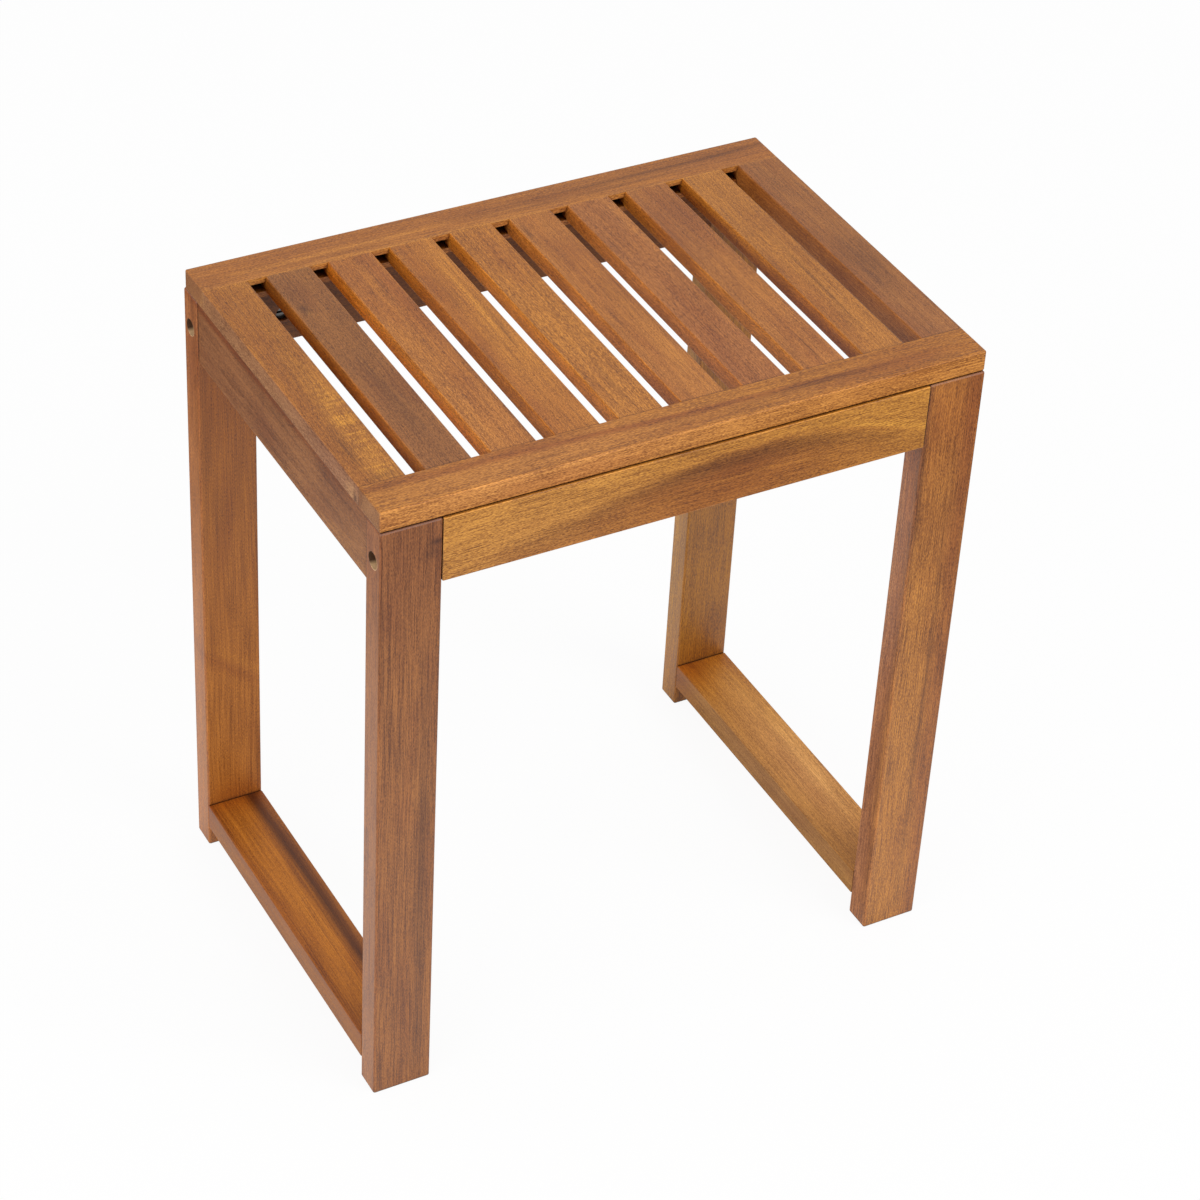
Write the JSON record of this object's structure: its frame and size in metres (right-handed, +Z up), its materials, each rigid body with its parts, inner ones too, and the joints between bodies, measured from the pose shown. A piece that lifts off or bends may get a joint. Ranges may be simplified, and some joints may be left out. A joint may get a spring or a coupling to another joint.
{
  "type": "bath stool",
  "caption": "Rectangular slatted wooden bath stool: flat seat with open drain slots on open leg frames, tied by bolted aprons and low side stretchers.",
  "frame": {"origin": "on the floor, under the centre of the stool", "axes": "+X along the long side to the right, +Y to the rear, so that the front faces -Y, +Z up"},
  "size_m": [0.4, 0.2812, 0.45],
  "materials": {
    "seat_wood": "oiled hardwood, satin",
    "frame_wood": "oiled hardwood, satin",
    "dowel_wood": "raw turned hardwood",
    "zinc_steel": "zinc plated"
  },
  "bodies": {
    "root": {"front_top_rail": "seat_wood", "rear_top_rail": "seat_wood", "slat_01": "seat_wood", "slat_02": "seat_wood", "slat_03": "seat_wood", "slat_04": "seat_wood", "slat_05": "seat_wood", "slat_06": "seat_wood", "slat_07": "seat_wood", "slat_08": "seat_wood", "slat_09": "seat_wood", "slat_10": "seat_wood", "front_left_leg": "frame_wood", "front_right_leg": "frame_wood", "rear_left_leg": "frame_wood", "rear_right_leg": "frame_wood", "front_apron": "frame_wood", "rear_apron": "frame_wood", "left_side_apron": "frame_wood", "right_side_apron": "frame_wood", "left_stretcher": "frame_wood", "right_stretcher": "frame_wood", "left_frame_dowels": "dowel_wood", "right_frame_dowels": "dowel_wood", "apron_dowels": "dowel_wood", "connector_bolts": "zinc_steel", "barrel_nuts": "zinc_steel", "seat_screws": "zinc_steel"}
  },
  "joints": []
}
